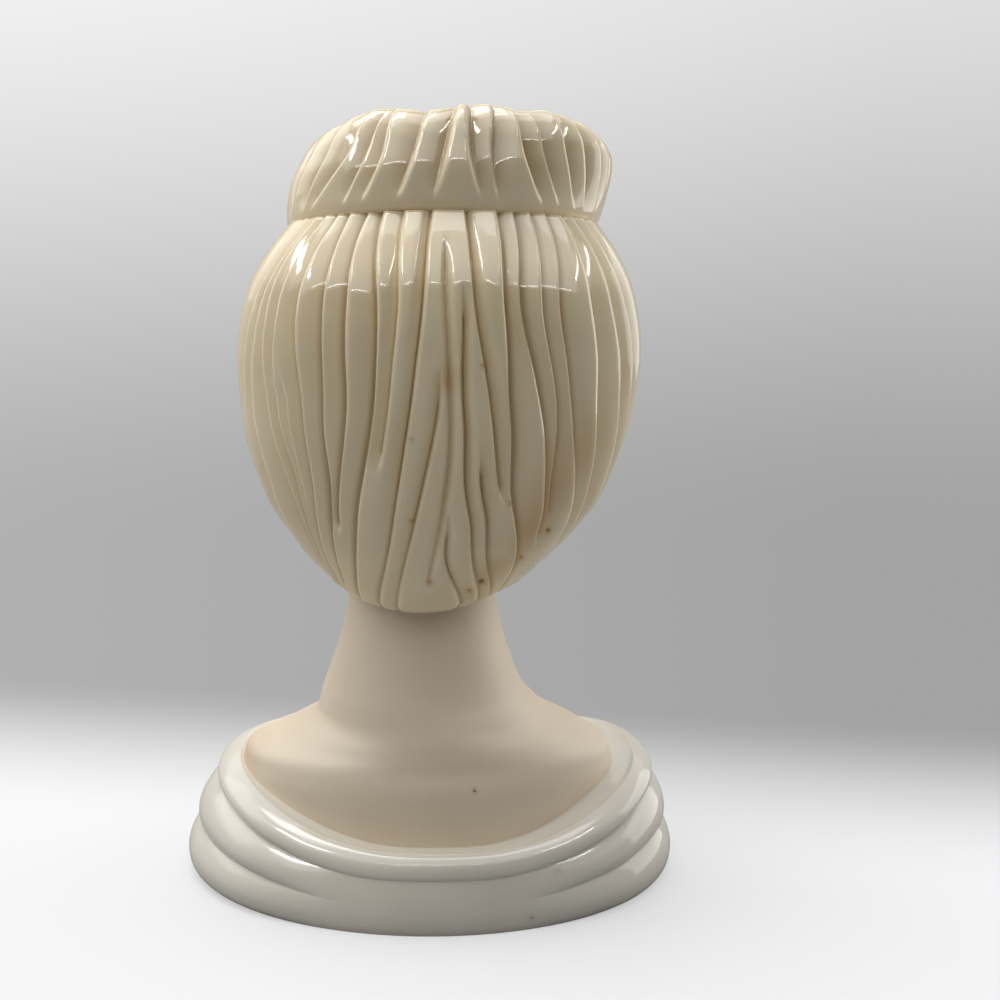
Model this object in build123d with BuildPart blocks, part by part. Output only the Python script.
"""Head planter: a hollow ceramic bust of a woman with her hair swept up into an open roll.

Six castings fit together: the neck and shoulders stand on the table and are closed below by a
floor, the shawl lies round the shoulders, the hair and the face make the hollow head on the neck,
and the hair roll on the crown is the mouth that the plant goes in by.
Millimetres. +Z is up, the face looks along -Y, and the origin is the middle of the foot.
"""

import os
from math import cos, exp, pi, sin

from build123d import *

os.makedirs("parts", exist_ok=True)

# Casting and fits
WALL = 6.0  # thickness of every cast wall
FIT = 0.3  # gap left for slip between two castings that lap
OVERRUN = 8.0  # how far a cut runs past what it cuts

# Levels, each measured up from the one before
NAPE_HEIGHT = 98.5  # foot to the lower edge of the hair
HAIR_HEIGHT = 128.5  # lower edge of the hair to the seat of the roll
ROLL_HEIGHT = 33.0  # seat of the roll to its crest

# Stance of the head
HEAD_SETBACK = 2.0  # head's axis behind the middle of the foot
NECK_SHIFT = 3.0  # neck's axis to the +X side of the middle of the foot
HEAD_LEAN = 9.0  # how far the crest stands to the -X side of the neck's axis

# Neck and shoulders
SHOULDER_WIDTH = 142.0
SHOULDER_DEPTH = 104.0
NECK_WIDTH = 54.0
NECK_DEPTH = 54.0
NECK_SPIGOT = 13.0  # how far the neck stands up inside the head
FLOOR_THICKNESS = 6.0
FLOOR_LEDGE = 3.0  # width of the ledge that the floor seats against

# Shawl
SHAWL_WIDTH = 175.0
SHAWL_DEPTH = 130.0
SHAWL_SIDE_HEIGHT = 46.0  # foot to the rolled edge, over the shoulders
SHAWL_BACK_HEIGHT = 23.0  # foot to the rolled edge, in the middle of the back
SHAWL_FRONT_HEIGHT = 32.0  # foot to the rolled edge, in the middle of the chest
SHAWL_EDGE_WIDTH = 137.0  # across the rolled edge, from shoulder to shoulder
SHAWL_EDGE_DEPTH = 110.0  # across the rolled edge, from chest to back
SHAWL_TUCK = 14.0  # how far the shawl reaches in behind its rolled edge
FOLD_DEPTH = 3.2  # how far a fold stands out of the crease beside it

# Hair
HAIR_WIDTH = 134.0
HAIR_DEPTH = 131.0
LOCK_DEPTH = 2.6  # depth of the grooves between the locks
LOCK_COUNT = 40

# Face
FACE_WIDTH = 92.0
FACE_HEIGHT = 108.0  # chin to hairline
FACE_REACH = 61.0  # brow in front of the head's axis
CHIN_DROP = 1.0  # chin below the lower edge of the hair
HAIR_SWEEP = 15.0  # how far the hair's front edge falls back from the side of the face to the side of the hair

# Hair roll
ROLL_WIDTH = 109.0
ROLL_DEPTH = 106.0
ROLL_LOCK_DEPTH = 2.4
ROLL_LOCK_COUNT = 34
MOUTH_DIAMETER = 76.0
MOUTH_FLARE = 5.0  # rounding of the lip, inwards and down
SPIGOT_WALL = 4.0  # thickness of the ring that locates the roll in the hair

# Levels and places that follow
ROLL_SEAT = NAPE_HEIGHT + HAIR_HEIGHT
CREST = ROLL_SEAT + ROLL_HEIGHT
CHIN = NAPE_HEIGHT - CHIN_DROP
NECK_TOP = NAPE_HEIGHT + NECK_SPIGOT

# Bust profile: height as a share of the way from the floor to the nape, how far the section has drawn in
# from the shoulders (0) to the neck (1) across and front to back, and its share of the neck's shift.
BUST_SHARES = (
    (0.0000, 0.000, 0.00, 0.0),
    (0.0625, 0.060, 0.08, 0.0),
    (0.1250, 0.115, 0.15, 0.0),
    (0.1875, 0.150, 0.20, 0.0),
    (0.2500, 0.170, 0.25, 0.0),
    (0.3125, 0.185, 0.29, 0.0),
    (0.3750, 0.205, 0.335, 0.0),
    (0.4375, 0.255, 0.385, 0.1),
    (0.5000, 0.400, 0.445, 0.3),
    (0.5625, 0.630, 0.52, 0.5),
    (0.6250, 0.760, 0.61, 0.8),
    (0.6875, 0.830, 0.71, 1.0),
    (0.7500, 0.880, 0.805, 1.0),
    (0.8125, 0.920, 0.885, 1.0),
    (0.8750, 0.955, 0.945, 1.0),
    (0.9375, 0.985, 0.985, 1.0),
    (1.0000, 1.000, 1.00, 1.0),
)
BUST_STEP_SHARE = 0.0625  # height from each section of the bust to the next
BUST_OVERRUN_ROWS = 3  # sections by which the hollow runs past the bust's ends

# Hair profile: height as a share of the hair's height, then the section as a share of its width and depth.
HAIR_SHARES = (
    (0.00, 0.43, 0.51),
    (0.09, 0.60, 0.64),
    (0.20, 0.765, 0.78),
    (0.36, 0.91, 0.90),
    (0.52, 0.975, 0.975),
    (0.68, 1.00, 1.00),
    (0.83, 0.96, 0.97),
    (0.93, 0.865, 0.88),
    (1.00, 0.775, 0.79),
)
EGG_SHARE = 0.16  # how much narrower the hair is in front than behind
LOCK_WANDER_SHARE = 0.22  # how unequal the locks are

# Roll profile: height as a share of the roll's height, then the section as a share of its width and depth.
ROLL_SHARES = (
    (0.00, 0.965),
    (0.20, 1.00),
    (0.44, 0.995),
    (0.68, 0.945),
    (0.86, 0.87),
    (1.00, 0.77),
)

# Hairline seen from the side: forward of the head's axis as a share of half the hair's depth, and
# up from the nape as a share of the hair's height, at the forehead, the temple and the corner of the jaw.
FOREHEAD_SHARES = (1.20, 0.845)
TEMPLE_SHARES = (0.70, 0.815)
JAW_SHARES = (0.0, 0.14)
NAPE_CORNER_SHARE = -0.42  # where the hair's lower edge ends, on the same scale

# Face profile: height as a share of the face's height, then the half width as a share of half the
# face's width and the reach as a share of the brow's reach.
FACE_SHARES = (
    (0.00, 0.33, 0.760),
    (0.05, 0.46, 0.860),
    (0.10, 0.56, 0.895),
    (0.15, 0.64, 0.905),
    (0.20, 0.715, 0.912),
    (0.25, 0.775, 0.920),
    (0.30, 0.825, 0.933),
    (0.40, 0.91, 0.955),
    (0.50, 0.975, 0.965),
    (0.60, 1.00, 0.970),
    (0.70, 1.00, 0.982),
    (0.80, 0.998, 0.970),
    (0.90, 0.975, 0.935),
    (1.00, 0.92, 0.875),
    (1.12, 0.83, 0.770),
)
FACE_STEP_SHARE = 0.035  # height from each section of the face to the next
FACE_ROWS = 32
CHIN_BACK_SHARE = 0.5  # where the jaw's underside meets the flat of the chin, as a share of the brow's reach
FACE_SQUARENESS_SHARE = 0.86  # under 1, the face's sections are fuller than ellipses

# Relief of the face: across, up and the two spreads, then how far it stands out, as shares of the
# face's width, height, width, height and reach. What is off the middle is on both sides.
RELIEF_SHARES = (
    (0.000, 0.378, 0.060, 0.026, 0.120),  # tip of the nose
    (0.000, 0.430, 0.050, 0.046, 0.115),  # bridge, lower part
    (0.000, 0.500, 0.042, 0.050, 0.085),  # bridge, upper part
    (0.000, 0.590, 0.042, 0.050, 0.045),  # root
    (0.090, 0.362, 0.040, 0.024, 0.060),  # wing of the nose
    (0.185, 0.575, 0.110, 0.062, -0.085),  # eye socket
    (0.185, 0.560, 0.080, 0.040, 0.065),  # closed lid
    (0.210, 0.655, 0.130, 0.032, 0.022),  # brow
    (0.290, 0.440, 0.120, 0.090, 0.040),  # cheek
    (0.000, 0.286, 0.120, 0.018, 0.055),  # upper lip
    (0.000, 0.218, 0.100, 0.024, 0.062),  # lower lip
    (0.000, 0.252, 0.130, 0.010, -0.030),  # line of the mouth
    (0.000, 0.090, 0.110, 0.050, 0.050),  # chin
)
FACE_STEPS = 12  # points on each half of a face section

# Shawl profile, from the hem to the rolled edge: height, then how far it has drawn in from the
# hem (0) to the edge (1), then how far it stands out, as a share of a fold's depth.
FOLD_SHARES = (
    (0.20, 0.00, 0.50),  # lower fold
    (0.40, 0.22, -0.50),  # crease
    (0.53, 0.30, 0.45),  # middle fold
    (0.69, 0.62, -0.50),  # crease
    (0.84, 0.66, 0.55),  # rolled edge, outside
    (1.00, 1.00, 0.00),  # rolled edge, crest
)
TUCK_SHARE = 0.12  # how deep the rolled edge tucks in behind its crest, as a share of the shawl's height there
SHAWL_STEPS = 16  # sections from the middle of the back to the middle of the chest
SHAWL_PEAK_SHARE = 0.58  # where the rolled edge is highest, as a share of the way from the back to the chest
BACK_RISE_POWER = 2.5  # the rolled edge lies low across the back, then climbs over the shoulders
FRONT_RISE_POWER = 2  # in front it falls evenly to the chest
FOLD_BACK_SHARE = 0.25  # depth left of a fold where it runs out in the middle of the back
OVAL_STEPS = 16  # points on a smooth oval of the head's hollow


def head_axis(height):
    """X of the head's axis at a height: the head leans a little to the -X side of the neck."""
    return NECK_SHIFT - HEAD_LEAN * (height - NAPE_HEIGHT) / (HAIR_HEIGHT + ROLL_HEIGHT)


def egg_point(angle, half_width, half_depth):
    """A point on a section of the hair, with the angle counted from the back."""
    return (half_width * sin(angle) * (1 + EGG_SHARE * cos(angle)), half_depth * cos(angle))


def lock_section(plane, half_width, half_depth, count, groove):
    """A section through the locks: an arc for each lock, from groove to groove, not quite evenly spaced."""
    angles = [2 * pi * (i + LOCK_WANDER_SHARE * sin(2.3 * i)) / count for i in range(count + 1)]
    angles[count] = angles[0] + 2 * pi
    with BuildSketch(plane) as section:
        with BuildLine():
            for this, following in zip(angles, angles[1:]):
                ThreePointArc(
                    egg_point(this, half_width - groove, half_depth - groove),
                    egg_point((this + following) / 2, half_width, half_depth),
                    egg_point(following, half_width - groove, half_depth - groove),
                )
        make_face()
    return section.sketch


def hair_sections(inset, locks):
    """The sections of the hair from nape to seat, drawn in by an inset, with locks or smooth."""
    sections = []
    for height_share, width_share, depth_share in HAIR_SHARES:
        height = NAPE_HEIGHT + HAIR_HEIGHT * height_share
        plane = Plane((head_axis(height), HEAD_SETBACK, height))
        half_width = HAIR_WIDTH * width_share / 2 - inset
        half_depth = HAIR_DEPTH * depth_share / 2 - inset
        if locks:
            sections.append(lock_section(plane, half_width, half_depth, LOCK_COUNT, LOCK_DEPTH * width_share))
        else:
            with BuildSketch(plane) as section:
                with BuildLine():
                    angles = [2 * pi * i / OVAL_STEPS for i in range(OVAL_STEPS)]
                    Spline([egg_point(angle, half_width, half_depth) for angle in angles], periodic=True)
                make_face()
            sections.append(section.sketch)
    return sections


def bust_sections(growth, rows=BUST_SHARES):
    """The sections of the neck and shoulders from the floor's ledge to the nape, grown all round."""
    sections = []
    for height_share, across_share, along_share, shift_share in rows:
        height = FLOOR_THICKNESS + (NAPE_HEIGHT - FLOOR_THICKNESS) * height_share
        with BuildSketch(Plane((NECK_SHIFT * shift_share, HEAD_SETBACK * along_share, height))) as section:
            Ellipse(
                (SHOULDER_WIDTH + (NECK_WIDTH - SHOULDER_WIDTH) * across_share) / 2 + growth,
                (SHOULDER_DEPTH + (NECK_DEPTH - SHOULDER_DEPTH) * along_share) / 2 + growth,
            )
        sections.append(section.sketch)
    return sections


def relief(across, height_share):
    """How far the features stand out of the plain face at a point, across from its middle."""
    total = 0
    for place, level, spread, rise, reach in RELIEF_SHARES:
        up = (height_share - level) / rise
        for side in {place, -place}:
            aside = (across / FACE_WIDTH - side) / spread
            total += FACE_REACH * reach * exp(-(aside**2 + up**2) / 2)
    return total


def face_profile(height_share):
    """Half width and reach of the plain face at a height, read between the rows of its profile."""
    for low, high in zip(FACE_SHARES, FACE_SHARES[1:]):
        if height_share <= high[0]:
            part = (height_share - low[0]) / (high[0] - low[0])
            width_share = low[1] + (high[1] - low[1]) * part
            reach_share = low[2] + (high[2] - low[2]) * part
            return FACE_WIDTH / 2 * width_share, FACE_REACH * reach_share


def face_sections(inset, back, features):
    """The sections of the face from chin to crown, drawn in by an inset and run back to a plane."""
    sections = []
    for row in range(FACE_ROWS):
        height_share = FACE_STEP_SHARE * row
        height = CHIN + FACE_HEIGHT * height_share
        half_width, reach = face_profile(height_share)
        points = []
        for i in range(-FACE_STEPS, FACE_STEPS + 1):
            angle = pi / 2 * i / FACE_STEPS
            side = 1 if i > 0 else -1
            across = side * (half_width - inset) * abs(sin(angle)) ** FACE_SQUARENESS_SHARE
            forward = (reach - inset) * abs(cos(angle)) ** FACE_SQUARENESS_SHARE
            if features:
                forward += relief(across, height_share) * cos(angle)
            points.append((across, -forward))
        with BuildSketch(Plane((head_axis(height), HEAD_SETBACK, height))) as section:
            with BuildLine():
                Spline(points)
                Polyline(points[-1], (points[-1][0], back), (points[0][0], back), points[0])
            make_face()
        sections.append(section.sketch)
    return sections


def side_point(forward_share, height_share):
    """A point of the hairline, seen from the side."""
    return (HEAD_SETBACK - HAIR_DEPTH / 2 * forward_share, NAPE_HEIGHT + HAIR_HEIGHT * height_share)


def shawl_section(angle):
    """A standing section through the shawl, with the angle counted from the middle of the back."""
    side_share = sin(angle) ** 2
    peak = pi * SHAWL_PEAK_SHARE
    if angle < peak:
        middle_height = SHAWL_BACK_HEIGHT
        rise_share = max(cos(angle - peak), 0) ** BACK_RISE_POWER
    else:
        middle_height = SHAWL_FRONT_HEIGHT
        rise_share = cos(pi / 2 * (angle - peak) / (pi - peak)) ** FRONT_RISE_POWER
    height = middle_height + (SHAWL_SIDE_HEIGHT - middle_height) * rise_share
    hem = Vector(SHAWL_WIDTH / 2 * sin(angle), SHAWL_DEPTH / 2 * cos(angle))
    edge = Vector(SHAWL_EDGE_WIDTH / 2 * sin(angle), SHAWL_EDGE_DEPTH / 2 * cos(angle))
    hem_reach, edge_reach = hem.length, edge.length
    fold = FOLD_DEPTH * (FOLD_BACK_SHARE + (1 - FOLD_BACK_SHARE) * side_share)
    outline = []
    for height_share, inward_share, proud_share in FOLD_SHARES:
        reach = hem_reach + (edge_reach - hem_reach) * inward_share + fold * proud_share
        outline.append((reach, height * height_share))
    tuck = (edge_reach - SHAWL_TUCK, height * (1 - TUCK_SHARE))
    with BuildSketch(Plane((0, 0, 0), x_dir=hem.normalized(), z_dir=hem.normalized().cross(Vector(0, 0, 1)))) as section:
        with BuildLine():
            hem_point = (hem_reach - fold * FOLD_BACK_SHARE, 0)
            ThreePointArc(hem_point, outline[0], outline[1])
            ThreePointArc(outline[1], outline[2], outline[3])
            ThreePointArc(outline[3], outline[4], outline[5])
            Polyline(outline[5], tuck, (edge_reach - SHAWL_TUCK, 0), hem_point)
        make_face()
    return section.sketch


# Neck and shoulders: hollow from end to end, on a foot ring that takes the floor, with the neck as a spigot
below = [(-BUST_STEP_SHARE * i, *BUST_SHARES[0][1:]) for i in range(BUST_OVERRUN_ROWS, 0, -1)]
above = [(1 + BUST_STEP_SHARE * i, *BUST_SHARES[-1][1:]) for i in range(1, BUST_OVERRUN_ROWS + 1)]
with BuildPart() as bust_hollow:
    loft(bust_sections(-WALL, (*below, *BUST_SHARES, *above)))

with BuildPart() as neck_and_shoulders:
    loft(bust_sections(0))
    with BuildSketch(Plane((NECK_SHIFT, HEAD_SETBACK, NAPE_HEIGHT))):
        Ellipse(NECK_WIDTH / 2, NECK_DEPTH / 2)
    extrude(amount=NECK_SPIGOT)
    add(bust_hollow.part, mode=Mode.SUBTRACT)
    with BuildSketch(Plane.XY):
        Ellipse(SHOULDER_WIDTH / 2, SHOULDER_DEPTH / 2)
        Ellipse(
            SHOULDER_WIDTH / 2 - WALL + FLOOR_LEDGE + FIT,
            SHOULDER_DEPTH / 2 - WALL + FLOOR_LEDGE + FIT,
            mode=Mode.SUBTRACT,
        )
    extrude(amount=FLOOR_THICKNESS)

# Room that the shoulders and their foot take in the shawl and that the neck takes in the head, each with its fit
with BuildPart() as shoulder_room:
    loft(bust_sections(FIT))

with BuildPart() as foot_room:
    with BuildSketch(Plane.XY):
        Ellipse(SHOULDER_WIDTH / 2 + FIT, SHOULDER_DEPTH / 2 + FIT)
    extrude(amount=FLOOR_THICKNESS, both=True)

with BuildPart() as neck_room:
    with BuildSketch(Plane((NECK_SHIFT, HEAD_SETBACK, NAPE_HEIGHT))):
        Ellipse(NECK_WIDTH / 2 + FIT, NECK_DEPTH / 2 + FIT)
    extrude(amount=NECK_SPIGOT + 2 * OVERRUN, both=True)

# Floor: an oval plate pressed up against the ledge inside the foot
with BuildPart() as base_floor:
    with BuildSketch(Plane.XY):
        Ellipse(SHOULDER_WIDTH / 2 - WALL + FLOOR_LEDGE, SHOULDER_DEPTH / 2 - WALL + FLOOR_LEDGE)
    extrude(amount=FLOOR_THICKNESS)

# Shawl: one side is drawn through standing sections and mirrored, and hollowed for the shoulders
with BuildPart() as shawl:
    loft([shawl_section(pi * i / SHAWL_STEPS) for i in range(-1, SHAWL_STEPS + 2)])
    split(bisect_by=Plane.YZ, keep=Keep.TOP)
    mirror(about=Plane.YZ)
    add(shoulder_room.part, mode=Mode.SUBTRACT)
    add(foot_room.part, mode=Mode.SUBTRACT)

# Region in front of the hairline, which widens over the sides of the hair, and the face's share of it
forehead = side_point(*FOREHEAD_SHARES)
temple = side_point(*TEMPLE_SHARES)
jaw = side_point(*JAW_SHARES)
nape = side_point(NAPE_CORNER_SHARE, 0)
chin = (HEAD_SETBACK - FACE_REACH * CHIN_BACK_SHARE, CHIN)
under_chin = (forehead[0], CHIN - OVERRUN)


def hairline_outline(across, sweep):
    """The hairline seen from the side, at a place across the head, fallen back by a sweep."""
    corners = (forehead, temple, jaw, nape, (nape[0], under_chin[1]), under_chin)
    swept = [(y + sweep, z + sweep) for y, z in corners[:3]] + [(y + sweep, z) for y, z in corners[3:5]]
    with BuildSketch(Plane.YZ.offset(across)) as outline:
        Polygon(*swept, under_chin, align=None)
    return outline.sketch


with BuildPart() as front_region:
    loft(
        [
            hairline_outline(-HAIR_WIDTH / 2 - OVERRUN, HAIR_SWEEP),
            hairline_outline(-FACE_WIDTH / 2, 0),
            hairline_outline(FACE_WIDTH / 2, 0),
            hairline_outline(HAIR_WIDTH / 2 + OVERRUN, HAIR_SWEEP),
        ],
        ruled=True,
    )

with BuildPart() as face_region:
    with BuildSketch(Plane.YZ):
        Polygon(forehead, temple, jaw, chin, (chin[0], under_chin[1]), under_chin, align=None)
    extrude(amount=FACE_WIDTH, both=True)

# Hollow of the head: behind the face, and behind the hair as far forward as one wall behind the seam
with BuildPart() as face_hollow:
    loft(face_sections(WALL, HAIR_DEPTH / 4, False))
    with BuildSketch(Plane.YZ):
        Polygon(
            (under_chin[0], CHIN + WALL),
            (chin[0], CHIN + WALL),
            (jaw[0], jaw[1] + WALL),
            (HAIR_DEPTH, jaw[1] + WALL),
            (HAIR_DEPTH, under_chin[1]),
            under_chin,
            align=None,
        )
    extrude(amount=HAIR_WIDTH, both=True, mode=Mode.SUBTRACT)

with BuildPart() as hair_hollow:
    loft(hair_sections(WALL + LOCK_DEPTH, False))
    with Locations((0, 0, ROLL_SEAT - WALL)):
        Box(
            2 * HAIR_WIDTH,
            2 * HAIR_DEPTH,
            WALL + OVERRUN,
            align=(Align.CENTER, Align.CENTER, Align.MIN),
            mode=Mode.SUBTRACT,
        )
    add(front_region.part.moved(Location((0, WALL, 0))), mode=Mode.SUBTRACT)
    add(front_region.part.moved(Location((0, 0, WALL))), mode=Mode.SUBTRACT)

# Hair: the locks from nape to seat, hollow, with a socket for the roll and a hole for the neck
roll_axis = Location((head_axis(ROLL_SEAT + ROLL_HEIGHT / 2), HEAD_SETBACK, ROLL_SEAT))
with BuildPart() as hair_shell:
    loft(hair_sections(0, True))
    add(front_region.part, mode=Mode.SUBTRACT)
    add(hair_hollow.part, mode=Mode.SUBTRACT)
    add(face_hollow.part, mode=Mode.SUBTRACT)
    add(neck_room.part, mode=Mode.SUBTRACT)
    with Locations(roll_axis):
        Cylinder(MOUTH_DIAMETER / 2 + SPIGOT_WALL + FIT, 2 * WALL, mode=Mode.SUBTRACT)

# Face: seats on the edge of the hair, with its own hollow and its share of the hole for the neck
with BuildPart() as face_shell:
    loft(face_sections(0, HAIR_DEPTH / 4, True))
    add(face_region.part, mode=Mode.INTERSECT)
    add(face_hollow.part, mode=Mode.SUBTRACT)
    add(neck_room.part, mode=Mode.SUBTRACT)

# Roll: a ring of locks with a rounded lip, and a spigot that drops into the hair
with BuildPart() as hair_roll:
    loft(
        [
            lock_section(
                Plane(roll_axis.position + Vector(0, 0, ROLL_HEIGHT * height_share)),
                ROLL_WIDTH * size_share / 2,
                ROLL_DEPTH * size_share / 2,
                ROLL_LOCK_COUNT,
                ROLL_LOCK_DEPTH * size_share,
            )
            for height_share, size_share in ROLL_SHARES
        ]
    )
    with Locations(roll_axis):
        Cylinder(
            MOUTH_DIAMETER / 2 + SPIGOT_WALL, WALL, align=(Align.CENTER, Align.CENTER, Align.MAX)
        )
    with BuildSketch(Plane(roll_axis.position, x_dir=(1, 0, 0), z_dir=(0, -1, 0))):
        with BuildLine():
            bore = MOUTH_DIAMETER / 2
            Polyline(
                (bore, ROLL_HEIGHT - MOUTH_FLARE),
                (bore, -WALL - OVERRUN),
                (0, -WALL - OVERRUN),
                (0, ROLL_HEIGHT + OVERRUN),
                (bore + MOUTH_FLARE, ROLL_HEIGHT + OVERRUN),
                (bore + MOUTH_FLARE, ROLL_HEIGHT),
            )
            RadiusArc((bore + MOUTH_FLARE, ROLL_HEIGHT), (bore, ROLL_HEIGHT - MOUTH_FLARE), MOUTH_FLARE)
        make_face()
    revolve(axis=Axis(roll_axis.position, (0, 0, 1)), mode=Mode.SUBTRACT)

pieces = {
    "neck_and_shoulders": neck_and_shoulders,
    "base_floor": base_floor,
    "shawl": shawl,
    "hair_shell": hair_shell,
    "face_shell": face_shell,
    "hair_roll": hair_roll,
}
for name, piece in pieces.items():
    piece.part.label = name
    export_step(piece.part, "parts/" + name + ".step")
